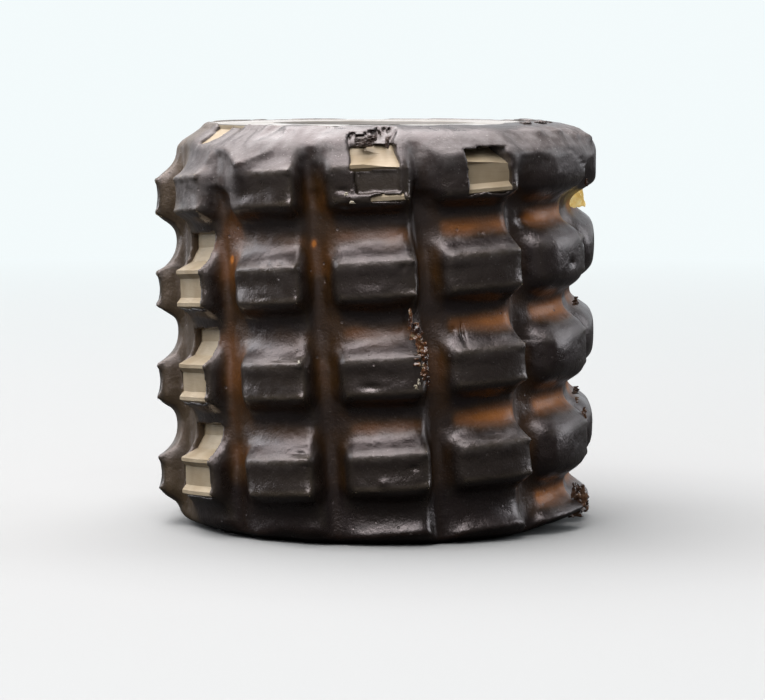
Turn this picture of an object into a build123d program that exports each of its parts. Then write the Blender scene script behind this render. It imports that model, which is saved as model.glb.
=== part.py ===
from build123d import *
import math
import os

os.makedirs("parts", exist_ok=True)

# A solid hob for parallel-sided splines, dipped in protective wax. Millimetres, the bore's axis on Z, and the
# hob standing on its lower hub face at z = 0. Azimuth 0 looks along -Y and grows towards +X.

# Hob body, ground from one block
LENGTH = 82.0
TIP_R = 45.0  # at the cutting edges
ROOT_R = 39.5
CORE_R = 35.5  # gash bottoms
HUB_R = 34.0
HUB_LENGTH = 1.0
END_CONE_SLOPE = 1.6  # radius gained for each millimetre away from the hub
BORE_R = 20.0
BORE_RELIEF = 0.75  # the bore is opened out between its two seats
SEAT_LENGTH = 22.0
MOUTH_CHAMFER = 0.8
KEY_WIDTH = 10.0
KEY_TOP = 23.5  # from the axis to the keyway's floor

# Twelve rows of teeth on one right-hand thread, parted by gashes square to the thread
ROWS = 12
LEAD = 18.85
PITCH_R = 42.0
LEAD_ANGLE = math.degrees(math.atan(LEAD / (2 * math.pi * PITCH_R)))
LAND_ANGLE = 18.75
RELIEF = 2.2  # fall of the land from cutting edge to heel
BACK_ANGLE = 24.0  # of the gash wall behind the heel, to the radius
EDGE_AZIMUTH = 11.0  # of the middle row's cutting edge at half the hob's length
FIRST_TOOTH_Z = 71.98  # middle of that row's upper tooth, on the cutting edge

# Half of one tooth, as (distance from its middle along the row, height over the root): a recess between
# two lugs, then the flank down to the root
HALF_TOOTH = [(1.9, 4.5), (2.9, 5.5), (3.6, 5.5), (5.3, 1.65), (8.0, 0.0)]

# Wax skin: thin on the lugs and edges, thicker in the valleys and gashes
HALF_WAX_TOOTH = [(1.5, 5.9), (2.8, 6.5), (4.2, 6.5), (6.6, 3.0), (8.2, 1.7)]
WAX_IN_GASH = 2.0
WAX_AHEAD_ANGLE = 1.7  # over the rake face
WAX_BEHIND_ANGLE = 1.6  # over the gash wall behind the heel
WAX_ON_HUB = 1.2
WAX_LIP = 0.5  # height over the upper hub face, all round it
FACE_GAP = 0.2  # between the lip and the edge of that face
WAX_FOOT = 0.3  # gap between the wax and the surface that the hob stands on
WAX_FOOT_R = 38.8  # the wax has run down and gathered round the lower hub

# Pooled wax that fills the upper ends of the gashes: where it starts and how far it goes round, in degrees,
# its depth, and its outline as points (radius, depth below the upper face) from the rim to the hub
POOLS = [
    (-52.0, 275.0, 5.5, [(43.2, 4.6), (40.3, 2.4), (35.2, -0.2)]),
    (36.0, 96.0, 7.0, [(45.2, 6.4), (43.0, 2.6), (38.0, -0.2)]),
]

# Patches where the wax has broken off: row, tooth, and the patch's span along the row from the tooth's
# middle and behind the cutting edge, in degrees
BROKEN = [
    (-2, 1, (-4.0, 10.9), (0.9, 19.4)),
    (-2, 2, (-4.0, 10.7), (0.9, 19.4)),
    (-2, 3, (-4.0, 10.5), (0.9, 19.4)),
    (-2, 0, (10.4, 13.6), (3.0, 10.0)),
    (0, 0, (2.7, 8.7), (1.4, 14.0)),
    (0, 0, (-3.8, -2.5), (1.2, 9.5)),
    (1, 0, (-4.0, 4.9), (1.6, 13.4)),
]


def radial(azimuth):
    """Unit vector away from the axis."""
    return Vector(math.sin(math.radians(azimuth)), -math.cos(math.radians(azimuth)), 0)


def around(azimuth):
    """Unit vector along the circle, in the direction in which azimuth grows."""
    return Vector(math.cos(math.radians(azimuth)), math.sin(math.radians(azimuth)), 0)


def tooth_middle(tooth):
    """Place along its row of a tooth's middle, from half the hob's length, counted down from the top."""
    return (FIRST_TOOTH_Z - LENGTH / 2 - LEAD * tooth) * math.cos(math.radians(LEAD_ANGLE))


def comb_outline(half_tooth):
    """A comb of teeth as points (radius, place along the row), closed inside the core."""
    points = []
    for tooth in range(-2, 6):
        middle = tooth_middle(tooth)
        points += [(ROOT_R + height, middle + place) for place, height in reversed(half_tooth)]
        points += [(ROOT_R + height, middle - place) for place, height in half_tooth]
    inner = CORE_R - 1.5
    return [(inner, points[0][1]), *points, (inner, points[-1][1])]


def station(outline, angle, fall=0.0, lean=0.0):
    """The plane of a row at an angle behind its cutting edge, and the outline's points on it."""
    azimuth = EDGE_AZIMUTH - angle
    lead = math.radians(LEAD_ANGLE)
    slope = math.radians(lean)
    along = Vector(0, 0, 1) * math.cos(lead) - around(azimuth) * math.sin(lead)
    out = radial(azimuth) * math.cos(slope) + around(azimuth) * math.sin(slope)
    out = (out - along * out.dot(along)).normalized()
    foot = Vector(0, 0, LENGTH / 2 - LEAD * angle / 360)
    plane = Plane(foot + radial(azimuth) * (TIP_R - fall), x_dir=out, z_dir=out.cross(along))
    return plane, [((radius - TIP_R) / math.cos(slope), place) for radius, place in outline]


def row_blank(outline, stations):
    """One row of teeth from its rake face to its heel, longer than the hob at both ends."""
    with BuildPart() as blank:
        for angle, fall, lean in stations:
            plane, points = station(outline, angle, fall, lean)
            with BuildSketch(plane):
                with BuildLine():
                    Polyline(*points, close=True)
                make_face()
        loft()
    return blank.part


def screw(row):
    """Where a row goes: turned about Z and raised along the thread, so that the gashes are evenly spaced."""
    gash_turn = math.tan(math.radians(LEAD_ANGLE)) / PITCH_R
    angle = row * 360 / ROWS / (1 + gash_turn * LEAD / (2 * math.pi))
    return Location((0, 0, LEAD * angle / 360), (0, 0, angle))


def barrel_outline(foot, hub, bottom, low, high, top):
    """Half section of a barrel with a cone at each end, from the foot's radius up to the hub's."""
    widest = TIP_R + 2
    lower_rise, upper_rise = ((widest - radius) / END_CONE_SLOPE for radius in (foot, hub))
    cones = [(foot, low), (widest, low + lower_rise), (widest, high - upper_rise), (hub, high)]
    return [(0, bottom), (foot, bottom), *cones, (hub, top), (0, top)]


def toothed_body(core, blank, barrel):
    """A core with the twelve rows on it, cut to the barrel's shape at its ends."""
    with BuildPart() as body:
        Cylinder(core, 2 * LENGTH, align=(Align.CENTER, Align.CENTER, Align.CENTER))
        for row in range(-ROWS // 2, ROWS // 2):
            with Locations(screw(row)):
                add(blank)
        with BuildSketch(Plane.XZ):
            with BuildLine():
                Polyline(*barrel, close=True)
            make_face()
        revolve(axis=Axis.Z, mode=Mode.INTERSECT)
    return body.part


def broken_patch(row, tooth, span, angles):
    """The space over one broken patch, from inside the steel to beyond the wax."""
    low, high = (tooth_middle(tooth) + place for place in span)
    inner = HUB_R - 3
    outer = TIP_R + 5
    corners = [(inner, low), (outer, low), (outer, high), (inner, high)]
    with BuildPart() as patch:
        for angle in angles:
            plane, points = station(corners, angle)
            with BuildSketch(plane):
                with BuildLine():
                    Polyline(*points, close=True)
                make_face()
        loft()
    return patch.part.moved(screw(row))


def place_on_rim(azimuth, radius, height, turn=0.0):
    """A location with X away from the axis and Y along the circle."""
    return Location(radial(azimuth) * radius + Vector(0, 0, height), (0, 0, azimuth - 90 + turn))


def lump(size, azimuth, radius, height, turn=0.0):
    """A small bevelled block of wax."""
    with BuildPart() as block:
        Box(*size)
        chamfer(block.edges(), min(size) * 0.25)
    return block.part.moved(place_on_rim(azimuth, radius, height, turn))


def loose_wax(name, lumps):
    """Loose bits of wax as one part, cut back to where they touch the coat and the steel."""
    with BuildPart() as bits:
        for block in lumps:
            add(block)
        add(wax_coat.part, mode=Mode.SUBTRACT)
        add(hob_body.part, mode=Mode.SUBTRACT)
    bits.part.label = name
    export_step(bits.part, f"parts/{name}.step")


# The rake face is square to the land, and the gash wall behind the heel leans back
steel_stations = [
    (0.0, 0.0, 0.0),
    (LAND_ANGLE / 2, RELIEF / 2, BACK_ANGLE / 2),
    (LAND_ANGLE, RELIEF, BACK_ANGLE),
]
steel_row = row_blank(comb_outline(HALF_TOOTH), steel_stations)
steel_barrel = barrel_outline(HUB_R, HUB_R, 0, HUB_LENGTH, LENGTH - HUB_LENGTH, LENGTH)

with BuildPart() as hob_body:
    add(toothed_body(CORE_R, steel_row, steel_barrel))
    with BuildSketch(Plane.XZ):
        with BuildLine():
            Polyline(
                (0, 0),
                (BORE_R + MOUTH_CHAMFER, 0),
                (BORE_R, MOUTH_CHAMFER),
                (BORE_R, SEAT_LENGTH),
                (BORE_R + BORE_RELIEF, SEAT_LENGTH + BORE_RELIEF),
                (BORE_R + BORE_RELIEF, LENGTH - SEAT_LENGTH - BORE_RELIEF),
                (BORE_R, LENGTH - SEAT_LENGTH),
                (BORE_R, LENGTH - MOUTH_CHAMFER),
                (BORE_R + MOUTH_CHAMFER, LENGTH),
                (0, LENGTH),
                close=True,
            )
        make_face()
    revolve(axis=Axis.Z, mode=Mode.SUBTRACT)
    with BuildSketch(Plane.XY):
        Rectangle(KEY_WIDTH, KEY_TOP, align=(Align.CENTER, Align.MAX))
    extrude(amount=LENGTH, mode=Mode.SUBTRACT)
hob_body.part.label = "hob_body"
export_step(hob_body.part, "parts/hob_body.step")

# The wax falls away a little at both edges of each land
wax_stations = [
    (-WAX_AHEAD_ANGLE, 0.45, 0.0),
    (LAND_ANGLE / 2, 0.9, BACK_ANGLE / 2),
    (LAND_ANGLE + WAX_BEHIND_ANGLE, RELIEF + 0.4, BACK_ANGLE),
]
wax_row = row_blank(comb_outline(HALF_WAX_TOOTH), wax_stations)
wax_top = LENGTH + WAX_LIP
wax_hub = HUB_R + WAX_ON_HUB
wax_barrel = barrel_outline(WAX_FOOT_R, wax_hub, WAX_FOOT, WAX_FOOT + 0.4, wax_top - 0.4, wax_top)

with BuildPart() as wax_coat:
    add(toothed_body(CORE_R + WAX_IN_GASH, wax_row, wax_barrel))
    for start, arc, depth, outline in POOLS:
        with BuildSketch(Plane(origin=(0, 0, 0), x_dir=radial(start), z_dir=-around(start))):
            with BuildLine():
                rim = ThreePointArc(*((radius, LENGTH - down) for radius, down in outline))
                Polyline(
                    rim @ 1,
                    (HUB_R - 1, LENGTH + 0.2),
                    (HUB_R - 1, LENGTH - depth),
                    (CORE_R + WAX_IN_GASH + 0.5, LENGTH - depth),
                    rim @ 0,
                )
            make_face()
        revolve(axis=Axis.Z, revolution_arc=arc)
    add(hob_body.part, mode=Mode.SUBTRACT)
    Cylinder(HUB_R, 3 * LENGTH, mode=Mode.SUBTRACT)
    with Locations((0, 0, LENGTH)):
        Cylinder(
            HUB_R + FACE_GAP,
            2 * WAX_LIP,
            align=(Align.CENTER, Align.CENTER, Align.MIN),
            mode=Mode.SUBTRACT,
        )
    for patch in BROKEN:
        add(broken_patch(*patch), mode=Mode.SUBTRACT)
wax_coat.part.label = "wax_coat"
export_step(wax_coat.part, "parts/wax_coat.step")

# Torn sheet that bridges the valley between the two upper teeth at the right
loose_wax("wax_flap", [lump((3.6, 0.6, 5.6), 86, 41.7, LENGTH - 14.5)])

# Crumpled shreds along a cutting edge of the middle row
shreds = [
    lump((1.6, 2.0, 4.2), 12.2, 45.0, LENGTH - 38.5, 20),
    lump((1.8, 1.5, 3.0), 13.4, 44.6, LENGTH - 42.6, -15),
    lump((1.5, 2.2, 3.4), 12.6, 45.0, LENGTH - 46.8, 10),
]
loose_wax("wax_shreds", shreds)

# Broken lumps: two in the upper window of the middle row, three on the rim of the upper end
chips = [
    lump((2.2, 4.4, 2.2), -2.6, 40.6, LENGTH - 3.0, 8),
    lump((1.6, 1.2, 2.6), 3.4, 40.8, LENGTH - 3.0, -10),
    lump((2.2, 3.4, 1.2), 58.0, 35.6, LENGTH + 0.2, 8),
    lump((2.6, 4.2, 1.4), 68.0, 35.8, LENGTH + 0.1, -10),
    lump((2.0, 2.6, 1.2), 77.0, 36.0, LENGTH, 20),
]
loose_wax("wax_chips", chips)
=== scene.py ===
import math

import bpy
import numpy as np
from mathutils import Euler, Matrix, Vector, noise as lattice


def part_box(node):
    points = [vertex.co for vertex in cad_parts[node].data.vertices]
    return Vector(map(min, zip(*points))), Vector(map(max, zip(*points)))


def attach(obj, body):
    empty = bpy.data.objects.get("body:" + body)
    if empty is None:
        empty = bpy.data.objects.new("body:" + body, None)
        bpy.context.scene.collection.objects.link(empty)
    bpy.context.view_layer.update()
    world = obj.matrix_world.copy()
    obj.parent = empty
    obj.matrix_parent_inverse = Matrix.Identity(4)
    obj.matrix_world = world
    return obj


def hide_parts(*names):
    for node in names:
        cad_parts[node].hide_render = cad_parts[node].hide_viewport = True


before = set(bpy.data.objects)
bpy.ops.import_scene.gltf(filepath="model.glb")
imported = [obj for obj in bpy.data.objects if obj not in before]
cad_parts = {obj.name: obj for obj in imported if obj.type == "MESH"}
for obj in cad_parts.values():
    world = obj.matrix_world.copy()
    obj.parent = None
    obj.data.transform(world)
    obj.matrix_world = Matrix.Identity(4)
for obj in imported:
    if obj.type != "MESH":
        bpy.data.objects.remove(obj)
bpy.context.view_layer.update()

MM = 0.001
hob_low, hob_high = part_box("hob_body")

# The hob, in millimetres: its length is taken from the frame, and the rest is as its CAD source has it
LENGTH = round((hob_high.z - hob_low.z) / MM, 2)
TIP_R = 45.0
ROOT_R = 39.5
CORE_R = 35.5
HUB_R = 34.0
HUB_LENGTH = 1.0
END_CONE_SLOPE = 1.6
ROWS = 12
LEAD = 18.85
PITCH_R = 42.0
LEAD_TAN = LEAD / (2 * math.pi * PITCH_R)
LAND_ANGLE = 18.75
RELIEF = 2.2
BACK_ANGLE = 24.0
BACK_TAN = math.tan(math.radians(BACK_ANGLE))
BACK_COSINE = 0.91
FLANK_COSINE = 0.7  # roughly, of the slope of a tooth's side
EDGE_AZIMUTH = 11.0
FIRST_TOOTH_Z = 71.98
TOOTH_PLACES = [0.0, 1.9, 2.9, 3.6, 5.3, 8.0, 9.5]
TOOTH_HEIGHTS = [4.5, 4.5, 5.5, 5.5, 1.65, 0.0, 0.0]
ROW_TURN = 360 / ROWS / (1 + LEAD_TAN * LEAD / (2 * math.pi * PITCH_R))

# The grid on which the wax is worked out: azimuth, height and radius
AZIMUTHS = 660
STEP_Z = 0.45
STEP_R = 0.42
LOW_Z = -1.35
HIGH_Z = LENGTH + 3.0
LOW_R = 30.6
HIGH_R = TIP_R + 2.4
INNER_R = LOW_R + 0.6  # of the wax's inner wall, which is hidden inside the steel
GRID_R = 43.0  # where the width of a cell round the hob is measured
CELL_ARC = 2 * math.pi * GRID_R / AZIMUTHS
azimuth_axis = np.arange(AZIMUTHS) * 360.0 / AZIMUTHS
height_axis = np.arange(LOW_Z, HIGH_Z, STEP_Z)
radius_axis = np.arange(LOW_R, HIGH_R, STEP_R)

# The wax is grown from a slimmer tooth, which gives it long hollow flanks: heights over the root at places
# along the row, measured upward from the tooth's middle
CORE_PLACES = [-9.5, -7.0, -5.4, -4.4, -3.2, -1.2, 1.2, 3.0, 4.1, 5.2, 6.5, 7.8, 9.5]
THIN_HEIGHTS = [0.1, 0.2, 0.9, 2.8, 5.1, 4.2, 4.2, 5.1, 3.4, 2.1, 1.1, 0.5, 0.1]
THICK_HEIGHTS = [-1.4, -1.2, 0.8, 3.3, 5.2, 5.4, 5.4, 5.1, 3.6, 1.4, -0.6, -1.2, -1.4]

# At each azimuth the wax is a share of the way from a thin to a thick, rounder coat
THIN_BLUR = 1.0
THIN_WAX = 1.2
SPARE_WAX = 0.35  # less of it on the left
THICK_BLUR = 2.0
THICK_WAX = 2.3
THICK_AZIMUTHS = [-180, -150, -75, -40, 20, 30, 44, 54, 130, 170, 180]
THICK_SHARES = [0.4, 0.15, 0.0, 0.06, 0.06, 0.2, 0.3, 1.0, 0.9, 0.5, 0.4]
FILL_BLUR = 3.2  # of the wax that rounds out the corners between the teeth
FILL_WAX = 0.55
SPARE_FILL = 1.0  # less of it on the right
GASH_WAX_R = 38.4  # the wax fills the gashes to this radius
WIDEST_R = 45.25
WIDEST_MARGIN = 0.15  # how far bumps may stand out past that
STEEL_COVER = 0.2  # least wax over the steel where it isn't broken
FOOT_GAP = 0.3  # between the wax and the surface that the hob stands on
BARE_FACE_R = HUB_R - 0.5  # the wax ends raggedly at about this radius on the upper hub face
BARE_FACE_DEPTH = 0.6  # no wax inside that rim down to this depth below the face

# Azimuths, or depths below the upper face, over which a change fades in, from none to all of it
SPARE_WAX_FADES = ((-44, -60), (-150, -120))
SPARE_FILL_FADES = ((50, 66), (150, 120))
ROUGH_TOP_FADES = ((-74, -60), (-2, -14))
ROUGH_TOP_DEPTHS = (8, 4)
DUSTY_LEFT_FADES = ((-72, -66), (-36, -40))
BACKLIT_FILM_FADES = ((-61, -67), (-125, -95))

# Unevenness: standard deviation in millimetres, size of the lumps in millimetres, and seed
COAT_WAVES = (0.12, 3.0, 11)
COAT_GRAIN = (0.05, 1.1, 15)
FILL_WAVES = (0.25, 5.0, 12)
GASH_WAVES = (0.3, 4.0, 20)
TOP_WAVES = (0.3, 2.4, 13)
ROUGH_TOP_GRAIN = (0.22, 0.75, 22)
ROUGH_TOP_WAVES = (0.25, 1.5, 23)
FOOT_WAVES = (0.25, 2.4, 14)
POOL_WAVES = (0.5, 2.5, 19)
HUB_RIM_GRAIN = (0.3, 1.6, 18)
HUB_RIM_WAVES = (0.45, 5.0, 21)

# Outline of the wax at both ends: at each azimuth, its radius at some depths below the upper face and at
# some heights over the surface that the hob stands on
TOP_DEPTHS = [-1.4, -0.4, -0.15, 0.3, 1.0, 2.5, 4.1, 5.8, 7.6, 12.0]
TOP_OUTLINES = {
    -180: [28.0, 30.0, 34.2, 36.0, 37.2, 39.8, 42.3, 44.8, 47.0, 52.0],
    -75: [28.0, 30.0, 34.0, 34.7, 35.3, 37.6, 40.0, 42.8, 45.6, 52.0],
    -48: [28.0, 30.0, 34.0, 34.8, 35.7, 38.3, 41.0, 43.6, 46.2, 52.0],
    -10: [28.0, 30.0, 34.2, 35.6, 36.9, 39.6, 42.4, 44.8, 46.6, 52.0],
    25: [28.0, 30.0, 34.6, 36.8, 38.6, 41.2, 43.6, 45.5, 47.2, 52.0],
    60: [28.0, 34.7, 37.0, 39.4, 41.2, 43.6, 44.9, 45.6, 47.2, 52.0],
    80: [28.0, 34.7, 37.4, 40.0, 42.0, 44.2, 45.2, 45.8, 47.2, 52.0],
    115: [28.0, 34.0, 36.4, 38.6, 40.4, 43.0, 44.7, 45.6, 47.2, 52.0],
    180: [28.0, 30.0, 34.2, 36.0, 37.2, 39.8, 42.3, 44.8, 47.0, 52.0],
}
FOOT_HEIGHTS = [0.0, 0.5, 1.4, 3.1, 4.5, 7.4, 10.0]
FOOT_OUTLINES = {
    -180: [35.0, 37.0, 39.2, 41.4, 42.8, 46.0, 50.0],
    -60: [35.0, 36.8, 38.9, 40.8, 42.2, 45.4, 50.0],
    -20: [36.0, 38.0, 39.8, 41.2, 42.3, 44.6, 48.0],
    20: [36.4, 38.6, 40.4, 41.8, 42.8, 45.2, 49.0],
    44: [36.4, 38.8, 41.0, 42.8, 44.2, 46.6, 50.0],
    62: [35.0, 36.6, 39.4, 43.2, 45.4, 47.2, 50.0],
    120: [35.0, 36.6, 39.4, 43.2, 45.4, 47.2, 50.0],
    180: [35.0, 37.0, 39.2, 41.4, 42.8, 46.0, 50.0],
}

# How far down the pooled wax fills the gashes from the upper face, negative where there is none
POOL_AZIMUTHS = [-180, -128, -62, -50, -38, -26, 0, 30, 90, 150, 180]
POOL_DEPTHS = [3.0, -3.0, -3.0, 5.0, 6.5, 3.0, 3.2, 5.0, 6.0, 5.0, 3.0]

# Broken patches: row, tooth, span along the row from the tooth's middle in millimetres, behind the
# cutting edge in degrees, and in millimetres how ragged the edge is and how much wax is left on the steel,
# negative where none is
BROKEN = [
    (-2, 1, (-4.0, 10.9), (0.9, 19.4), 0.1, -0.5),
    (-2, 2, (-4.0, 10.7), (0.9, 19.4), 0.1, -0.5),
    (-2, 3, (-4.0, 10.5), (0.9, 19.4), 0.1, -0.5),
    (-2, 0, (10.4, 13.6), (3.0, 10.0), 0.5, -0.5),
    (0, 0, (6.4, 9.2), (2.0, 14.2), 0.5, 0.8),
    (0, 0, (2.6, 6.9), (1.4, 14.0), 0.25, -0.5),
    (0, 0, (-2.2, 2.6), (1.8, 13.0), 0.2, 0.25),
    (0, 0, (-3.8, -2.4), (1.2, 9.5), 0.4, -0.5),
    (1, 0, (-4.0, 4.9), (1.6, 13.4), 0.3, -0.5),
]

# Dents, scratches and bumps: azimuth, millimetres below the upper face, half width round the rim, half
# height, and depth, which is negative for a bump
MARKS = [
    (-28.8, 27.0, 0.8, 0.5, 0.5),
    (-24.7, 26.8, 0.6, 0.5, 0.4),
    (-19.4, 45.4, 0.9, 0.9, 0.8),
    (-26.0, 46.0, 1.0, 0.4, 0.4),
    (-19.4, 63.6, 1.5, 0.5, 0.6),
    (-0.6, 50.3, 2.2, 0.7, 0.7),
    (2.1, 68.9, 0.9, 0.6, -0.4),
    (25.0, 40.5, 0.3, 2.4, 0.7),
    (22.5, 39.6, 0.7, 0.5, 0.5),
    (48.6, 18.6, 1.6, 1.1, 0.9),
    (46.3, 42.3, 2.6, 0.3, 0.4),
    (7.0, 27.0, 0.5, 1.0, 0.4),
    (10.0, 66.0, 0.9, 0.5, 0.5),
    (33.0, 60.5, 2.2, 0.5, 0.5),
    (60.0, 5.0, 2.0, 0.4, 0.35),
    (62.5, 5.9, 2.0, 0.4, 0.35),
    (65.0, 6.8, 2.0, 0.4, 0.35),
    (67.5, 7.7, 2.0, 0.4, 0.35),
    (70.0, 8.7, 2.0, 0.4, 0.35),
    (72.5, 9.8, 2.0, 0.4, 0.35),
    (61.0, 27.4, 1.0, 0.7, 0.6),
    (66.5, 21.8, 0.5, 1.2, 0.5),
    (69.0, 23.0, 0.6, 1.0, 0.5),
    (30.5, 21.0, 0.6, 0.4, 0.4),
    (-14.0, 30.0, 0.4, 0.9, 0.4),
    (-30.0, 33.4, 1.4, 0.35, 0.3),
    (-36.5, 8.5, 1.6, 2.0, -0.6),
    (-52.0, 6.0, 1.2, 1.6, -0.7),
    (51.0, 1.0, 2.2, 1.1, -1.0),
    (60.0, 0.8, 2.6, 1.2, -1.2),
    (70.0, 1.6, 2.0, 1.1, -1.0),
    (78.0, 2.6, 1.6, 1.0, -0.8),
    (-8.0, 12.2, 1.8, 0.5, 0.6),
    (-5.8, 13.8, 1.4, 0.45, -0.6),
    (-7.6, 15.2, 1.2, 0.5, 0.5),
]

# How much painted glow, an amber colour that stands for light passing through the wax, is put in the valleys
# between teeth and in the gashes, at some azimuths
VALLEY_AZIMUTHS = [-180, -75, -30, 10, 30, 60, 130, 180]
VALLEY_PAINTED_GLOWS = [0.5, 0.5, 0.3, 0.55, 0.8, 1, 0.7, 0.5]
GASH_AZIMUTHS = [-60, -46, -34, -20, 180]
GASH_PAINTED_GLOWS = [0.3, 0.48, 0.42, 0.34, 0.36]
# Where the painted glow sits, upward from the tooth's middle
VALLEY_PLACE = 8.5  # of the glow, upward from the tooth's middle
RIDGE_PLACE = 4.0  # of the dusty upper ridge of each tooth

# Painted glints, bright spots of painted light deep in the gashes: azimuth and millimetres below the upper
# face
PAINTED_GLINTS = [(-46.0, 26.5), (-17.7, 22.8)]
PAINTED_GLINT_HALF_ANGLE = 0.65
PAINTED_GLINT_HALF_HEIGHT = 0.7

# Colours as stops along a ramp
BODY_STOPS = [
    (0.0, (0.040, 0.031, 0.020)),
    (0.12, (0.020, 0.015, 0.011)),
    (0.3, (0.0100, 0.0060, 0.0050)),
    (0.5, (0.0100, 0.0052, 0.0030)),
    (1.0, (0.020, 0.009, 0.003)),
]
# The amber ramp colours the painted glow, which stands for light passing through the wax
AMBER_STOPS = [
    (0.0, (0.007, 0.0042, 0.002)),
    (0.35, (0.036, 0.0150, 0.001)),
    (0.7, (0.16, 0.050, 0.001)),
    (1.0, (0.42, 0.130, 0.002)),
]
BROKEN_STOPS = [(0.3, (0.024, 0.013, 0.010)), (0.55, (0.062, 0.037, 0.030)), (0.75, (0.18, 0.145, 0.13))]
# Near-white: the colour of bright chips, and painted highlight on the pieces that stand for glints
CHIP_AND_GLINT_STOPS = [(0.3, (0.30, 0.25, 0.16)), (0.5, (0.50, 0.45, 0.36)), (0.7, (0.75, 0.72, 0.64))]
FLAKE_STOPS = [(0.35, (0.035, 0.018, 0.012)), (0.55, (0.11, 0.052, 0.026)), (0.75, (0.26, 0.15, 0.085))]
FLAP_STOPS = [(0.3, (0.75, 0.48, 0.12)), (0.5, (0.92, 0.70, 0.28)), (0.7, (0.98, 0.85, 0.50))]
# The shreds' colours; the palest stop paints highlights on them
SHRED_AND_GLINT_STOPS = [(0.4, (0.030, 0.013, 0.009)), (0.58, (0.13, 0.050, 0.018)), (0.72, (0.60, 0.47, 0.30))]

# Plain colours
# Lighter olive-brown on the thin wax at the left: partly the wax's colour, partly painted backlight from the
# backdrop
BACKLIT_FILM_BROWN = (0.060, 0.040, 0.018)
DUST_GREY = (0.10, 0.092, 0.090)
DUST_DOTS = (0.42, 0.40, 0.38)
PIT_GREY = (0.09, 0.075, 0.07)
STEEL_TAN = (0.38, 0.31, 0.215)
STEEL_STAIN = (0.27, 0.205, 0.125)
STEEL_LINES = (0.24, 0.175, 0.11)
FACE_GREY = (0.36, 0.35, 0.335)
FACE_STAIN = (0.24, 0.22, 0.19)
FACE_GROOVES = (0.12, 0.115, 0.11)
BORE_GREY = (0.10, 0.092, 0.082)
BACKDROP = (0.90, 0.96, 0.97)
DAYLIGHT = (0.92, 0.96, 1.0)

# In metres: the upper hub face lies above this height, and the bore, coloured darker grey, inside this radius
FACE_FROM_Z = (LENGTH - 0.2) * MM
BORE_WITHIN_R = 0.0290


def wrap(angle):
    return (angle + 180.0) % 360.0 - 180.0


def smooth_step(value, low, high):
    share = np.clip((value - low) / (high - low), 0, 1)
    return share * share * (3 - 2 * share)


def row_angle(azimuth, height, radius, row):
    """How far points lie behind a row's cutting edge, in degrees, and the azimuth of that edge."""
    turned = row * ROW_TURN
    raised = LEAD * turned / 360
    aside = (height - LENGTH / 2 - raised) * LEAD_TAN
    edge = EDGE_AZIMUTH + turned - np.degrees(np.arcsin(aside / radius))
    return wrap(edge - azimuth), edge


def along_thread(height, edge, behind):
    """Height over the middle of the row's upper tooth, at points some way behind the cutting edge."""
    return height - FIRST_TOOTH_Z - LEAD * (edge - behind - EDGE_AZIMUTH) / 360


def from_middle(place):
    """Distance along the row, upward from the middle of the nearest tooth."""
    return (place + LEAD / 2) % LEAD - LEAD / 2


def row_depth(azimuth, height, radius, row, slim=None):
    """Roughly how deep points lie in a row of teeth, or of slim teeth with the heights given."""
    behind, edge = row_angle(azimuth, height, radius, row)
    place = from_middle(along_thread(height, edge, behind))
    if slim:
        top = ROOT_R + np.interp(place, CORE_PLACES, slim)
    else:
        top = ROOT_R + np.interp(np.abs(place), TOOTH_PLACES, TOOTH_HEIGHTS)
    top = top - RELIEF * behind / LAND_ANGLE
    arc = np.radians(1.0) * radius
    heel_r = TIP_R - RELIEF
    back = (LAND_ANGLE - behind) * arc + BACK_TAN * (heel_r - radius)
    return np.minimum(np.minimum((top - radius) * FLANK_COSINE, behind * arc), back * BACK_COSINE)


def nearest_rows(azimuth, height):
    """The two rows that a point may belong to."""
    lean = (height - LENGTH / 2) * LEAD_TAN / PITCH_R
    row = np.floor((azimuth - EDGE_AZIMUTH + np.degrees(lean)) / (360 / ROWS))
    return [(row + ahead + ROWS / 2) % ROWS - ROWS / 2 for ahead in (0, 1)]


def teeth_depth(azimuth, height, radius, slim=None):
    """Roughly how deep points lie in the toothed core, as if it had no ends."""
    rows = nearest_rows(azimuth, height)
    teeth = np.maximum(*(row_depth(azimuth, height, radius, row, slim) for row in rows))
    return np.maximum(teeth, CORE_R - radius)


def steel_depth(azimuth, height, radius):
    """Roughly how deep points lie in the steel, in millimetres; negative outside it."""
    cone = math.hypot(1, END_CONE_SLOPE)
    ends = [
        np.maximum(HUB_R - radius, (HUB_R + END_CONE_SLOPE * (rise - HUB_LENGTH) - radius) / cone)
        for rise in (height, LENGTH - height)
    ]
    barrel = np.minimum(np.minimum(height, LENGTH - height), np.minimum(*ends))
    return np.minimum(teeth_depth(azimuth, height, radius), barrel)


def blurred(field, sigma):
    """A Gaussian blur of the field, sigma in millimetres; it wraps round in azimuth."""
    for axis, step in enumerate((CELL_ARC, STEP_Z, STEP_R)):
        reach = math.ceil(2.5 * sigma / step)
        weights = np.exp(-0.5 * (np.arange(-reach, reach + 1) * step / sigma) ** 2)
        weights = (weights / weights.sum()).astype(np.float32)
        margins = [(reach, reach) if other == axis else (0, 0) for other in range(3)]
        padded = np.pad(field, margins, mode="wrap" if axis == 0 else "edge")
        size = field.shape[axis]
        field = np.zeros_like(field)
        for shift, weight in enumerate(weights):
            part = (slice(None),) * axis + (slice(shift, shift + size),)
            field += weight * padded[part]
    return field


def level(blurry, sigma):
    """Turns a blurred 0 to 1 field into roughly a depth in millimetres."""
    steepness = 1.702  # of the logistic curve that follows a blurred step
    share = np.clip(blurry, 1e-4, 1 - 1e-4)
    return sigma * np.log(share / (1 - share)) / steepness


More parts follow.
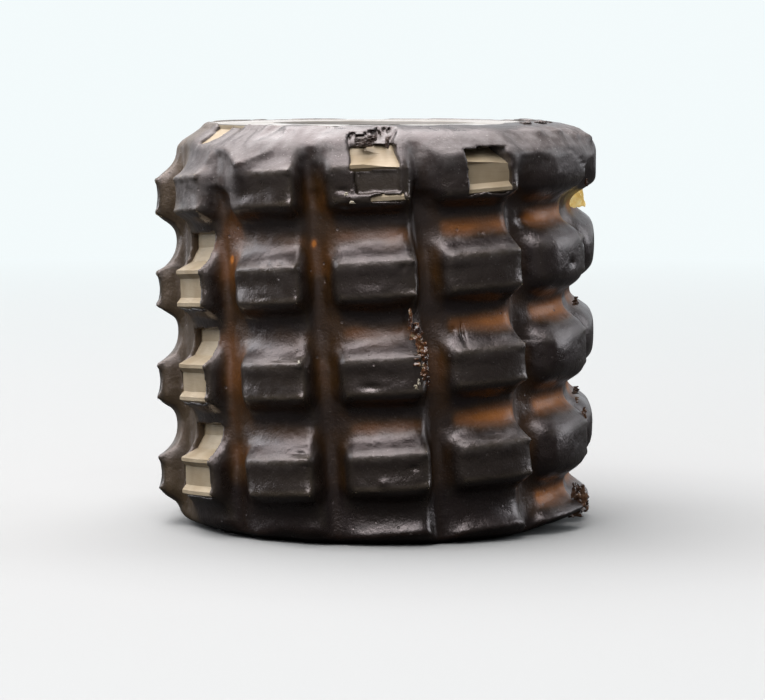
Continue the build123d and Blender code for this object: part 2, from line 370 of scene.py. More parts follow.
def noise(sigma, seed):
    """Smooth noise over azimuth and height with a standard deviation of 1, sigma in millimetres."""
    shape = (AZIMUTHS, len(height_axis))
    rough = np.random.default_rng(seed).standard_normal(shape)
    across = np.fft.fftfreq(shape[0], CELL_ARC)[:, None]
    up = np.fft.fftfreq(shape[1], STEP_Z)[None, :]
    keep = np.exp(-2 * (math.pi * sigma) ** 2 * (across**2 + up**2))
    smooth = np.fft.ifft2(np.fft.fft2(rough) * keep).real
    return (smooth / smooth.std())[:, :, None].astype(np.float32)


def uneven(amount, sigma, seed):
    return amount * noise(sigma, seed)


def join(first, second, blend):
    """The larger of two depths, with the seam between them rounded."""
    gap = np.clip(0.5 + 0.5 * (first - second) / blend, 0, 1)
    return second + (first - second) * gap + blend * gap * (1 - gap)


def cut(first, second, blend):
    """The smaller of two depths, with the edge between them rounded."""
    return -join(-first, -second, blend)


def outline_radius(outlines, places, azimuth, place):
    """Radius of an end's outline, between the outlines given for the azimuths on either side."""
    turns = sorted(outlines)
    table = np.array([np.interp(place.ravel(), places, outlines[turn]) for turn in turns])
    where = np.interp(wrap(azimuth.ravel()), turns, range(len(turns)))
    low = np.minimum(where.astype(int), len(turns) - 2)
    share = (where - low)[:, None]
    return (table[low] * (1 - share) + table[low + 1] * share)[:, :, None].astype(np.float32)


def patch_depth(azimuth, height, radius, row, tooth, span, angles):
    """How deep points lie inside the outline of one broken patch, whatever their radius."""
    behind, edge = row_angle(azimuth, height, radius, row)
    place = along_thread(height, edge, behind) + LEAD * tooth
    arc = np.radians(1.0) * radius
    along = np.minimum(place - span[0], span[1] - place)
    across = np.minimum(behind - angles[0], angles[1] - behind) * arc
    return np.minimum(along, across)


def marks(azimuth, height):
    """Depth of all the dents, scratches and bumps, which is negative on a bump."""
    total = 0
    for turn, down, wide, tall, depth in MARKS:
        across = wrap(azimuth - turn) * np.radians(1.0) * TIP_R / wide
        up = (LENGTH - down - height) / tall
        total = total + depth * np.exp(-(across**2 + up**2))
    return total


def coat(azimuth, height, radius, slim, blur, wax):
    """How deep points lie in an even coat over slim teeth."""
    teeth = teeth_depth(azimuth, height, radius, slim).astype(np.float32)
    return level(blurred(np.clip(0.5 + teeth / STEP_Z, 0, 1), blur), blur) + wax


def coated_depth(azimuth, height, radius):
    """How deep points lie in the wax over the teeth and in the gashes, as if the hob had no ends."""
    turned = wrap(azimuth)
    thin = coat(azimuth, height, radius, THIN_HEIGHTS, THIN_BLUR, THIN_WAX)
    thick = coat(azimuth, height, radius, THICK_HEIGHTS, THICK_BLUR, THICK_WAX)
    share = np.interp(turned, THICK_AZIMUTHS, THICK_SHARES).astype(np.float32)
    left, left_back = (smooth_step(turned, *fade) for fade in SPARE_WAX_FADES)
    spare = SPARE_WAX * left * left_back
    wax = thin - spare + (thick - thin) * share + uneven(*COAT_WAVES) + uneven(*COAT_GRAIN)
    wax = cut(wax, WIDEST_R - radius, 1.0)
    fill = coat(azimuth, height, radius, THIN_HEIGHTS, FILL_BLUR, FILL_WAX) + uneven(*FILL_WAVES)
    right, right_back = (smooth_step(turned, *fade) for fade in SPARE_FILL_FADES)
    fill = fill - SPARE_FILL * right * right_back
    wax = join(wax, fill, 1.3)
    return join(wax, GASH_WAX_R + uneven(*GASH_WAVES) - radius, 2.8)


def shaped_ends(wax, azimuth, height, radius):
    """The wax depth with the pooled wax added and both ends cut to their outlines."""
    turned = wrap(azimuth)
    down = LENGTH - height
    top = outline_radius(TOP_OUTLINES, TOP_DEPTHS, azimuth, down) + uneven(*TOP_WAVES)
    left, middle = (smooth_step(turned, *fade) for fade in ROUGH_TOP_FADES)
    rough = left * middle * smooth_step(down, *ROUGH_TOP_DEPTHS)
    top = top + rough * (uneven(*ROUGH_TOP_GRAIN) + uneven(*ROUGH_TOP_WAVES))
    foot = outline_radius(FOOT_OUTLINES, FOOT_HEIGHTS, azimuth, height) + uneven(*FOOT_WAVES)
    pool_depth = np.interp(turned, POOL_AZIMUTHS, POOL_DEPTHS) + uneven(*POOL_WAVES)
    inside_rim = top - 0.7 - radius
    pool_floor = pool_depth + 0.7 * np.maximum(inside_rim, 0) - down
    wax = join(wax, np.minimum(inside_rim * 0.8, pool_floor * 0.75), 2.4)
    wax = cut(wax, (top - radius) * 0.62, 1.0)
    return cut(wax, (foot - radius) * 0.7, 0.8)


def without_broken_wax(wax, azimuth, height, radius, steel):
    """The wax depth with the broken patches and the bare hub face taken out."""
    fine, coarse = noise(0.6, 16), noise(1.8, 17)
    for *patch, ragged, left in BROKEN:
        inside = patch_depth(azimuth, height, radius, *patch) + ragged * (0.5 * fine + 0.6 * coarse)
        rest = steel + left + (0.35 * fine if left > 0.5 else 0)
        wax = np.minimum(wax, np.maximum(rest, -inside))
    ragged_rim = uneven(*HUB_RIM_GRAIN) + uneven(*HUB_RIM_WAVES)
    face = np.minimum(BARE_FACE_R - radius + ragged_rim, height - LENGTH + BARE_FACE_DEPTH)
    return np.minimum(wax, -face)


def wax_depth(azimuth, height, radius, steel):
    """How deep points lie in the wax coat, in millimetres; negative outside it."""
    wax = coated_depth(azimuth, height, radius)
    wax = shaped_ends(wax, azimuth, height, radius)
    wax = wax - marks(azimuth, height)
    wax = join(wax, steel + STEEL_COVER, 0.4)
    wax = without_broken_wax(wax, azimuth, height, radius, steel)
    wax = np.minimum(wax, height - FOOT_GAP)
    wax = np.minimum(wax, WIDEST_R + WIDEST_MARGIN - radius)
    return np.minimum(wax, radius - INNER_R)


CORNERS = [(a, b, c) for a in (0, 1) for b in (0, 1) for c in (0, 1)]
EDGES = [(p, q) for p in CORNERS for q in CORNERS if np.abs(np.subtract(q, p)).sum() == 1 and q > p]


def surface_net(field):
    """A closed quad mesh round the space where the field is over 0. Its first axis wraps round."""
    inside = field > 0
    counts = field.shape
    inner = np.zeros((counts[0], counts[1] - 1, counts[2] - 1), np.int8)
    for a, b, c in CORNERS:
        turned = np.roll(inside, -a, axis=0)
        inner += turned[:, b : counts[1] - 1 + b, c : counts[2] - 1 + c]
    active = (inner > 0) & (inner < 8)
    cells = np.argwhere(active)
    index = np.full(active.shape, -1)
    index[active] = np.arange(len(cells))
    values = {
        corner: field[(cells[:, 0] + corner[0]) % counts[0], cells[:, 1] + corner[1], cells[:, 2] + corner[2]]
        for corner in CORNERS
    }
    total = np.zeros((len(cells), 3))
    hits = np.zeros((len(cells), 1))
    for p, q in EDGES:
        crosses = (values[p] > 0) != (values[q] > 0)
        share = np.where(crosses, values[p] / np.where(crosses, values[p] - values[q], 1), 0)[:, None]
        total += np.where(crosses[:, None], np.array(p) + share * np.subtract(q, p), 0)
        hits += crosses[:, None]
    points = cells + total / hits
    quads = []
    for axis in range(3):
        one, two = (axis + 1) % 3, (axis + 2) % 3
        changes = inside != np.roll(inside, -1, axis=axis)
        if axis:
            changes[(slice(None),) * axis + (-1,)] = False
        at = np.argwhere(changes)
        ring = []
        for back_one, back_two in ((0, 0), (1, 0), (1, 1), (0, 1)):
            cell = at.copy()
            cell[:, one] -= back_one
            cell[:, two] -= back_two
            cell[:, 0] %= counts[0]
            ring.append(index[tuple(cell.T)])
        ring = np.stack(ring, axis=1)
        leaves = inside[tuple(at.T)]
        quads.append(np.where(leaves[:, None], ring, ring[:, ::-1]))
    return points, np.concatenate(quads)


def simpler_inside(points, quads):
    """Replaces the fine quads on the hidden inner wall by one tall quad at each azimuth."""
    margin = 8  # fine rows kept at each end of the wall
    radius = LOW_R + points[:, 2] * STEP_R
    row = np.floor(points[:, 1]).astype(int)
    on_wall = radius < INNER_R + 0.15
    low, high = row[on_wall].min() + margin, row[on_wall].max() - margin
    between = on_wall & (row >= low) & (row <= high)
    kept = quads[~between[quads].all(axis=1)]
    rims = []
    for wanted in (low, high):
        rim = np.flatnonzero(between & (row == wanted))
        rims.append(rim[np.argsort(points[rim, 0])])
    first, second = rims
    wall = np.stack([first, second, np.roll(second, -1), np.roll(first, -1)], axis=1)
    return np.concatenate([kept, wall])


def mesh_object(name, points, faces, look):
    """A smooth mesh object from points in millimetres, and which of them it kept: those that a face uses."""
    used, faces = np.unique(faces, return_inverse=True)
    mesh = bpy.data.meshes.new(name)
    mesh.from_pydata((np.asarray(points)[used] * MM).tolist(), [], faces.reshape(-1, 4).tolist())
    mesh.validate()
    mesh.polygons.foreach_set("use_smooth", [True] * len(mesh.polygons))
    mesh.materials.append(look)
    made = bpy.data.objects.new(name, mesh)
    bpy.context.scene.collection.objects.link(made)
    return made, used


def on_cylinder(azimuth, height, radius):
    """Points of azimuth in degrees, height and radius in millimetres, as X, Y, Z in millimetres."""
    turn = np.radians(azimuth)
    return np.stack([radius * np.sin(turn), -radius * np.cos(turn), height + 0 * radius], axis=-1)


def add_attribute(made, name, values):
    attribute = made.data.attributes.new(name, "FLOAT", "POINT")
    attribute.data.foreach_set("value", np.asarray(values, np.float32))


def nearest_tooth(turned, up, out):
    """Degrees outside the nearest row's land, negative on it, and height over the middle of the tooth."""
    inside = np.full(len(turned), -99.0)
    place = np.zeros(len(turned))
    for row in nearest_rows(turned, up):
        angle, edge = row_angle(turned, up, out, row)
        in_row = -np.abs(angle - LAND_ANGLE / 2)
        closer = in_row > inside
        inside = np.where(closer, in_row, inside)
        upward = wrap(along_thread(up, edge, angle) * 360 / LEAD) * LEAD / 360
        place = np.where(closer, upward, place)
    return -inside - LAND_ANGLE / 2, place


def wax_looks(turned, up, out):
    """Depth of wax at each point, how much painted glow it gets for light passing through the wax, how dusty
    it is, and how much thin brown film with painted backlight it has.
    """
    depth = -steel_depth(turned, up, out)
    turned = wrap(turned)
    down = LENGTH - up
    outside, place = nearest_tooth(turned, up, out)
    on_row = smooth_step(outside, 2.5, -0.5)

    # Painted glow: amber colour in the valleys and gashes that stands for light passing through the wax
    aside = wrap((place - VALLEY_PLACE) * 360 / LEAD) * LEAD / 360
    valley = np.exp(-((aside / 2.3) ** 2)) * smooth_step(44.8 - out, 0.3, 2.3)
    valley = valley * np.interp(turned, VALLEY_AZIMUTHS, VALLEY_PAINTED_GLOWS)
    gash = 0.9 * np.interp(turned, GASH_AZIMUTHS, GASH_PAINTED_GLOWS) * smooth_step(43.0 - out, 0.0, 3.0)
    # Painted glints: bright spots of painted light added to the gash glow
    for azimuth, painted_glint_down in PAINTED_GLINTS:
        across = wrap(turned - azimuth) / PAINTED_GLINT_HALF_ANGLE
        gash = gash + 1.1 * np.exp(-(across**2) - ((down - painted_glint_down) / PAINTED_GLINT_HALF_HEIGHT) ** 2)
    # The painted glow is put further down on the right
    lift = 6.5 * smooth_step(turned, 40, 54)  # the glow reaches further down on the right
    ends = smooth_step(down, 5.0, 14.0) * smooth_step(up + lift, 7.5, 13.0)
    painted_glow = (on_row * valley + (1 - on_row) * gash) * ends

    ridge = np.exp(-(((place - RIDGE_PLACE) / 1.4) ** 2)) * on_row
    top = smooth_step(down, 11.0, 4.0) * smooth_step(out, 38.0, 41.0)
    left, middle = (smooth_step(turned, *fade) for fade in DUSTY_LEFT_FADES)
    left = smooth_step(down, 19.0, 13.0) * left * middle
    dust = np.maximum(np.maximum(0.4 * ridge, top), 0.9 * left)

    # Thin wax on the rake faces at the left, painted lighter brown for the backlight it shows
    near, far = (smooth_step(turned, *fade) for fade in BACKLIT_FILM_FADES)
    backlit_film = near * far * (1 - on_row * smooth_step(out, 43.4, 44.4)) * (1 - 0.9 * left)
    return np.clip(depth, 0, 9), painted_glow, dust, backlit_film


def material(name):
    made = bpy.data.materials.new(name)
    made.use_nodes = True
    return made, made.node_tree.nodes, made.node_tree.links, made.node_tree.nodes["Principled BSDF"]


def ramp(nodes, stops):
    node = nodes.new("ShaderNodeValToRGB")
    while len(node.color_ramp.elements) < len(stops):
        node.color_ramp.elements.new(0.5)
    for element, (place, colour) in zip(node.color_ramp.elements, stops):
        element.position = place
        element.color = (*colour, 1)
    return node


def object_place(nodes):
    return nodes.new("ShaderNodeTexCoord").outputs["Object"]


def speckle(nodes, links, scale, detail=3.0, stretch=(1, 1, 1)):
    """A noise texture in object space; scale is in features a metre."""
    squeeze = nodes.new("ShaderNodeVectorMath")
    squeeze.operation = "MULTIPLY"
    squeeze.inputs[1].default_value = stretch
    links.new(object_place(nodes), squeeze.inputs[0])
    texture = nodes.new("ShaderNodeTexNoise")
    texture.inputs["Scale"].default_value = scale
    texture.inputs["Detail"].default_value = detail
    links.new(squeeze.outputs[0], texture.inputs["Vector"])
    return texture.outputs["Fac"]


def combine(nodes, links, operation, first, second):
    """A Math node; both values may be numbers or sockets."""
    node = nodes.new("ShaderNodeMath")
    node.operation = operation
    node.use_clamp = operation == "MULTIPLY"
    for socket, value in zip(node.inputs, (first, second)):
        if isinstance(value, (int, float)):
            socket.default_value = value
        else:
            links.new(value, socket)
    return node.outputs[0]


def spread(nodes, links, value, low, high, to_low, to_high):
    """Moves a value's range, clamped."""
    node = nodes.new("ShaderNodeMapRange")
    for name, number in (("From Min", low), ("From Max", high), ("To Min", to_low), ("To Max", to_high)):
        node.inputs[name].default_value = number
    links.new(value, node.inputs["Value"])
    return node.outputs["Result"]


def blend(nodes, links, share, first, second):
    """Mixes two colours; each is a socket or three numbers."""
    node = nodes.new("ShaderNodeMix")
    node.data_type = "RGBA"
    links.new(share, node.inputs["Factor"])
    for name, value in (("A", first), ("B", second)):
        socket = [s for s in node.inputs if s.name == name and s.type == "RGBA"][0]
        if isinstance(value, tuple):
            socket.default_value = (*value, 1)
        else:
            links.new(value, socket)
    return [s for s in node.outputs if s.type == "RGBA"][0]


def bump(nodes, links, height, strength, distance, under=None):
    node = nodes.new("ShaderNodeBump")
    node.inputs["Strength"].default_value = strength
    node.inputs["Distance"].default_value = distance
    links.new(height, node.inputs["Height"])
    if under is not None:
        links.new(under, node.inputs["Normal"])
    return node.outputs["Normal"]


def attribute(nodes, name):
    node = nodes.new("ShaderNodeAttribute")
    node.attribute_name = name
    return node.outputs["Fac"]


def wax_colour(nodes, links, broad, medium, fine, painted_glow, dust, backlit_film):
    """The colour of the wax, with painted amber glow for light passing through it, a thin brown film with
    painted backlight, dust, dots and pits over it; and the pits.
    """
    depth = spread(nodes, links, attribute(nodes, "wax_depth"), 0.0, 5.0, 0.0, 1.0)
    body = ramp(nodes, BODY_STOPS)
    links.new(depth, body.inputs["Fac"])
    amber = ramp(nodes, AMBER_STOPS)
    links.new(painted_glow, amber.inputs["Fac"])
    share = spread(nodes, links, painted_glow, 0.08, 0.35, 0.0, 1.0)
    colour = blend(nodes, links, share, body.outputs["Color"], amber.outputs["Color"])
    colour = blend(nodes, links, backlit_film, colour, BACKLIT_FILM_BROWN)

    grain = spread(nodes, links, medium, 0.40, 0.64, 0.10, 0.85)
    dusty = combine(nodes, links, "MULTIPLY", dust, grain)
    colour = blend(nodes, links, dusty, colour, DUST_GREY)
    dots = spread(nodes, links, fine, 0.66, 0.74, 0.0, 1.0)
    dots = combine(nodes, links, "MULTIPLY", dots, spread(nodes, links, dust, 0.0, 0.6, 0.12, 0.5))
    colour = blend(nodes, links, dots, colour, DUST_DOTS)

    cells = nodes.new("ShaderNodeTexVoronoi")
    cells.inputs["Scale"].default_value = 330
    links.new(object_place(nodes), cells.inputs["Vector"])
    pits = spread(nodes, links, cells.outputs["Distance"], 0.07, 0.13, 1.0, 0.0)
    pits = combine(nodes, links, "MULTIPLY", pits, spread(nodes, links, broad, 0.48, 0.6, 0.0, 1.0))
    colour = blend(nodes, links, combine(nodes, links, "MULTIPLY", pits, 0.6), colour, PIT_GREY)
    return colour, pits


def wax_material():
    made, nodes, links, shader = material("dip wax")
    broad = speckle(nodes, links, 90, 2)
    medium = speckle(nodes, links, 420, 4)
    fine = speckle(nodes, links, 2600, 3)
    # The painted glow, standing for light passing through the wax
    painted_glow = attribute(nodes, "painted_glow")
    painted_glow = combine(nodes, links, "ADD", painted_glow, spread(nodes, links, broad, 0.35, 0.65, -0.12, 0.12))
    dust = attribute(nodes, "dust")
    patchy = spread(nodes, links, broad, 0.3, 0.6, 0.6, 1.0)
    # The thin film's painted backlight, in patches
    backlit_film = combine(nodes, links, "MULTIPLY", attribute(nodes, "backlit_film"), patchy)
    colour, pits = wax_colour(nodes, links, broad, medium, fine, painted_glow, dust, backlit_film)
    links.new(colour, shader.inputs["Base Color"])

    rough = spread(nodes, links, medium, 0.3, 0.7, 0.25, 0.39)
    rough = combine(nodes, links, "ADD", rough, spread(nodes, links, painted_glow, 0.1, 0.9, 0.0, 0.32))
    rough = combine(nodes, links, "ADD", rough, combine(nodes, links, "MULTIPLY", dust, 0.32))
    rough = combine(nodes, links, "ADD", rough, combine(nodes, links, "MULTIPLY", backlit_film, 0.15))
    links.new(rough, shader.inputs["Roughness"])
    shader.inputs["Specular IOR Level"].default_value = 0.8
    shader.inputs["Specular Tint"].default_value = (1.0, 0.86, 0.87, 1)
    shader.inputs["Coat Weight"].default_value = 0.22
    shader.inputs["Coat Roughness"].default_value = 0.2

    wavy = bump(nodes, links, medium, 0.35, 0.0007)
    grainy = bump(nodes, links, fine, 0.3, 0.0002, wavy)
    pitted = bump(nodes, links, spread(nodes, links, pits, 0, 1, 1, 0), 0.6, 0.0002, grainy)
    links.new(pitted, shader.inputs["Normal"])
    return made


def distance_from_axis(nodes, links, parts):
    """Distance from the bore's axis, from the X and Y outputs of a node."""
    level_part = nodes.new("ShaderNodeCombineXYZ")
    links.new(parts.outputs["X"], level_part.inputs["X"])
    links.new(parts.outputs["Y"], level_part.inputs["Y"])
    distance = nodes.new("ShaderNodeVectorMath")
    distance.operation = "LENGTH"
    links.new(level_part.outputs[0], distance.inputs[0])
    return distance.outputs["Value"]


def steel_material():
    """Tan ground steel with a grey, ring-grooved upper face and a bore coloured darker grey."""
    made, nodes, links, shader = material("ground tool steel")
    parts = nodes.new("ShaderNodeSeparateXYZ")
    links.new(object_place(nodes), parts.inputs[0])
    lines = speckle(nodes, links, 260, 2, (0.6, 0.6, 14))
    stain = speckle(nodes, links, 130, 4)
    colour = blend(nodes, links, spread(nodes, links, stain, 0.35, 0.65, 0, 1), STEEL_TAN, STEEL_STAIN)
    colour = blend(nodes, links, spread(nodes, links, lines, 0.5, 0.72, 0, 0.35), colour, STEEL_LINES)

    face = spread(nodes, links, parts.outputs["Z"], FACE_FROM_Z, FACE_FROM_Z + 0.0001, 0, 1)
    face_colour = blend(nodes, links, spread(nodes, links, stain, 0.4, 0.7, 0, 1), FACE_GREY, FACE_STAIN)
    colour = blend(nodes, links, face, colour, face_colour)
    from_axis = distance_from_axis(nodes, links, parts)
    rings = nodes.new("ShaderNodeTexNoise")
    rings.noise_dimensions = "1D"
    rings.inputs["Scale"].default_value = 2600
    links.new(from_axis, rings.inputs["W"])
    grooves = spread(nodes, links, rings.outputs["Fac"], 0.42, 0.62, 0.0, 0.35)
    colour = blend(nodes, links, combine(nodes, links, "MULTIPLY", grooves, face), colour, FACE_GROOVES)

    in_bore = spread(nodes, links, from_axis, BORE_WITHIN_R, BORE_WITHIN_R + 0.0002, 1, 0)
    darker_bore = combine(nodes, links, "MULTIPLY", in_bore, spread(nodes, links, face, 0, 1, 1, 0))
    colour = blend(nodes, links, darker_bore, colour, BORE_GREY)
    links.new(colour, shader.inputs["Base Color"])
    links.new(spread(nodes, links, stain, 0.3, 0.7, 0.42, 0.56), shader.inputs["Roughness"])
    shader.inputs["Metallic"].default_value = 0.15
    ridges = nodes.new("ShaderNodeMix")
    links.new(face, ridges.inputs["Factor"])
    links.new(lines, ridges.inputs["A"])
    links.new(rings.outputs["Fac"], ridges.inputs["B"])
    links.new(bump(nodes, links, ridges.outputs["Result"], 0.25, 0.0001), shader.inputs["Normal"])
    return made


def broken_wax_material():
    made, nodes, links, shader = material("broken wax")
    patchy = speckle(nodes, links, 900, 4)
    colours = ramp(nodes, BROKEN_STOPS)
    links.new(patchy, colours.inputs["Fac"])
    links.new(colours.outputs["Color"], shader.inputs["Base Color"])
    links.new(spread(nodes, links, patchy, 0.3, 0.7, 0.25, 0.5), shader.inputs["Roughness"])
    links.new(bump(nodes, links, speckle(nodes, links, 1800, 3), 0.5, 0.0002), shader.inputs["Normal"])
    return made


def thin_wax_material(name, stops, light_through):
    """Glossy thin wax; a little light of its own stands for the light that passes through it."""
    made, nodes, links, shader = material(name)
    patchy = speckle(nodes, links, 500, 3)
    colours = ramp(nodes, stops)
    links.new(patchy, colours.inputs["Fac"])
    links.new(colours.outputs["Color"], shader.inputs["Base Color"])
    links.new(colours.outputs["Color"], shader.inputs["Emission Color"])
    shader.inputs["Emission Strength"].default_value = light_through
    shader.inputs["Roughness"].default_value = 0.16
    shader.inputs["Coat Weight"].default_value = 0.6
    shader.inputs["Coat Roughness"].default_value = 0.08
    links.new(bump(nodes, links, speckle(nodes, links, 1500, 3), 0.4, 0.0002), shader.inputs["Normal"])
    return made


def make_wax():
    azimuth = azimuth_axis[:, None, None].astype(np.float32)
    height = height_axis[None, :, None].astype(np.float32)
    radius = radius_axis[None, None, :].astype(np.float32)
    steel = steel_depth(azimuth, height, radius).astype(np.float32)
    field = wax_depth(azimuth, height, radius, steel)
    field[:, 0] = field[:, -1] = -1
    field[:, :, 0] = field[:, :, -1] = -1
    cells, quads = surface_net(field)
    quads = simpler_inside(cells, quads)
    turned = cells[:, 0] * 360.0 / AZIMUTHS
    up = LOW_Z + cells[:, 1] * STEP_Z
    out = LOW_R + cells[:, 2] * STEP_R
    made, used = mesh_object("wax_skin", on_cylinder(turned, up, out), quads, wax_material())
    looks = wax_looks(turned[used], up[used], out[used])
    for name, values in zip(("wax_depth", "painted_glow", "dust", "backlit_film"), looks):
        add_attribute(made, name, values)
    return made


def around_rim(azimuth):
    """Unit vectors away from the axis and along the circle."""
    turn = math.radians(azimuth)
    return Vector((math.sin(turn), -math.cos(turn), 0)), Vector((math.cos(turn), math.sin(turn), 0))


def broken_lump(azimuth, radius, height, size, seed):
    """Points and quads of a rough lump; size is across the rim's radius, along the rim and upright."""
    out, along = around_rim(azimuth)
    middle = Vector((0, 0, height)) + out * radius
    steps = 26
    points, quads, index = [], [], {}
    for face in range(6):
        axis, side = face % 3, 1 if face < 3 else -1
        for i in range(steps + 1):
            for j in range(steps + 1):
                corner = [0, 0, 0]
                corner[axis] = side * steps
                corner[(axis + 1) % 3] = 2 * i - steps
                corner[(axis + 2) % 3] = 2 * j - steps
                index.setdefault(tuple(corner), len(index))
        for i in range(steps):
            for j in range(steps):
                ring = []
                for a, b in ((0, 0), (1, 0), (1, 1), (0, 1)):
                    corner = [0, 0, 0]
                    corner[axis] = side * steps
                    corner[(axis + 1) % 3] = 2 * (i + a) - steps
                    corner[(axis + 2) % 3] = 2 * (j + b) - steps
                    ring.append(index[tuple(corner)])
                quads.append(ring if side > 0 else ring[::-1])
    for corner in index:
        way = Vector(corner).normalized()
        boxy = way / max(abs(part) for part in way) ** 0.55
        drift = way * 1.3 + Vector((seed, 2.3 * seed, 0))
        bulge = 0.86 + 0.34 * lattice.noise(drift) + 0.10 * lattice.noise(drift * 4.1)
        bulge += 0.12 * lattice.cell(drift * 2.6)
        spot = boxy * bulge * 0.5
        upright = Vector((0, 0, spot.z * size[2]))
        points.append(middle + out * spot.x * size[0] + along * spot.y * size[1] + upright)
    return [tuple(point) for point in points], quads


def torn_sheet(azimuth, radius, height, size, tilt, taper, crumple, seed, torn=1.0, thickness=0.28):
    """Points and quads of a torn sheet of wax. It faces along the rim's radius when tilt is 0 degrees."""
    out, along = around_rim(azimuth)
    turn = math.radians(tilt)
    across = along * math.cos(turn) + out * math.sin(turn)
    normal = out * math.cos(turn) - along * math.sin(turn)
    wide, tall = 18, 22
    middle = Vector((0, 0, height)) + out * radius
    layers = []
    for side in (0.5, -0.5):
        for i in range(wide + 1):
            for j in range(tall + 1):
                u, v = 2 * i / wide - 1, 2 * j / tall - 1
                ragged = 1 + 0.28 * torn * lattice.noise(Vector((v * 2.4, seed, 0)))
                frayed = 1 + 0.22 * torn * lattice.noise(Vector((u * 2.1, 0, seed + 7)))
                width = size[0] / 2 * (1 - taper * (v + 1) / 2) * ragged
                fold = crumple * lattice.noise(Vector((u * 1.4, v * 2.2, seed * 1.7)))
                fold += 0.35 * crumple * lattice.noise(Vector((u * 4.0, v * 5.0, seed)))
                edge = 1 - 0.6 * max(abs(u), abs(v)) ** 6
                spot = middle + across * (u * width + 0.4 * fold) + normal * (fold + side * thickness * edge)
                layers.append(tuple(spot + Vector((0, 0, v * size[1] / 2 * frayed))))
    layer = (wide + 1) * (tall + 1)
    quads = []
    for i in range(wide):
        for j in range(tall):
            near = i * (tall + 1) + j
            far = near + tall + 1
            ring = [near, far, far + 1, near + 1]
            quads.append(ring)
            quads.append([place + layer for place in ring[::-1]])
    rim = [i * (tall + 1) for i in range(wide)] + [wide * (tall + 1) + j for j in range(tall)]
    rim += [i * (tall + 1) + tall for i in range(wide, 0, -1)] + list(range(tall, 0, -1))
    for first, second in zip(rim, rim[1:] + rim[:1]):
        quads.append([second, first, first + layer, second + layer])
    return layers, quads


def gathered(name, parts, look):
    """One mesh object from several lists of points and quads."""
    points, quads = [], []
    for part_points, part_quads in parts:
        quads += [[place + len(points) for place in quad] for quad in part_quads]
        points += part_points
    return mesh_object(name, points, quads, look)[0]


# Torn bits: azimuth, radius, height, size, tilt in degrees, taper, crumple, seed, and for some how ragged
FLAP = [(85.5, 41.5, LENGTH - 14.6, (3.8, 5.2), 80, 0.5, 0.7, 3, 0.7)]
FLAKES = [
    (71.5, 43.0, LENGTH - 53.8, (1.8, 1.6), 30, 0.3, 0.6, 31),
    (69.0, 43.8, LENGTH - 55.6, (1.4, 1.2), -20, 0.3, 0.5, 32),
    (72.0, 44.7, LENGTH - 58.4, (0.9, 2.4), 50, 0.4, 0.5, 33),
    (72.5, 44.8, LENGTH - 62.0, (0.8, 3.0), 50, 0.4, 0.5, 34),
    (70.0, 43.2, LENGTH - 35.6, (1.2, 1.8), 40, 0.4, 0.5, 35),
    (68.5, 44.4, LENGTH - 22.4, (1.3, 0.8), 20, 0.3, 0.4, 36),
    (76.0, 44.2, LENGTH - 11.8, (0.8, 1.6), 60, 0.7, 0.3, 37),
    (69.0, 43.6, LENGTH - 74.0, (2.2, 3.0), 30, 0.2, 0.6, 38, 0.8),
    (72.0, 43.9, LENGTH - 75.4, (3.2, 4.4), 42, 0.2, 0.7, 39, 0.8),
    (74.0, 43.8, LENGTH - 77.2, (4.2, 3.6), 30, 0.2, 0.7, 40, 0.8),
    (71.0, 43.2, LENGTH - 78.4, (3.4, 2.6), 50, 0.3, 0.7, 41, 0.8),
]
SHREDS = [
    (9.0, 44.3, LENGTH - 37.2, (1.6, 4.2), 60, 0.6, 0.5, 11),
    (10.2, 44.5, LENGTH - 39.4, (2.2, 3.4), 20, 0.3, 0.6, 12),
    (11.4, 44.2, LENGTH - 41.2, (1.6, 4.6), -40, 0.4, 0.6, 13),
    (12.0, 44.4, LENGTH - 43.2, (2.6, 3.4), 35, 0.3, 0.6, 15),
    (11.4, 44.6, LENGTH - 45.0, (3.2, 2.4), -15, 0.2, 0.7, 16),
    (13.0, 44.0, LENGTH - 46.0, (1.4, 4.6), 50, 0.5, 0.5, 17),
    (12.2, 44.5, LENGTH - 47.6, (2.8, 2.6), 25, 0.3, 0.7, 18),
    (13.2, 44.0, LENGTH - 48.6, (1.4, 3.2), -30, 0.5, 0.4, 19),
]
# The first two are bright chips of wax; the other three stand for glints, painted highlights on the wax
BRIGHT_CHIPS_AND_GLINTS = [
    (10.0, 45.0, LENGTH - 50.2, (1.4, 1.0), 20, 0.5, 0.4, 51),
    (10.9, 44.9, LENGTH - 49.2, (0.6, 1.2), -30, 0.6, 0.3, 52),
    (-19.0, 45.0, LENGTH - 45.5, (0.7, 0.6), 30, 0.3, 0.4, 53),
    (-7.0, 44.6, LENGTH - 12.8, (0.9, 0.6), 10, 0.4, 0.4, 54),
    (-5.6, 44.8, LENGTH - 14.4, (1.1, 0.5), -20, 0.4, 0.4, 55),
]

# Broken lumps: azimuth, radius, height, size across the radius, along the rim and upright, and seed
CHIPS = [
    (-3.0, 40.8, LENGTH - 2.9, (2.4, 3.6, 1.9), 21),
    (-0.6, 40.3, LENGTH - 2.2, (2.0, 1.9, 1.4), 22),
    (3.4, 40.9, LENGTH - 3.0, (1.6, 0.9, 2.4), 23),
    (58.0, 35.7, LENGTH + 0.1, (2.2, 3.2, 1.1), 24),
    (68.0, 35.9, LENGTH + 0.1, (2.6, 4.0, 1.2), 25),
    (77.0, 36.1, LENGTH - 0.1, (2.0, 2.6, 1.1), 26),
]


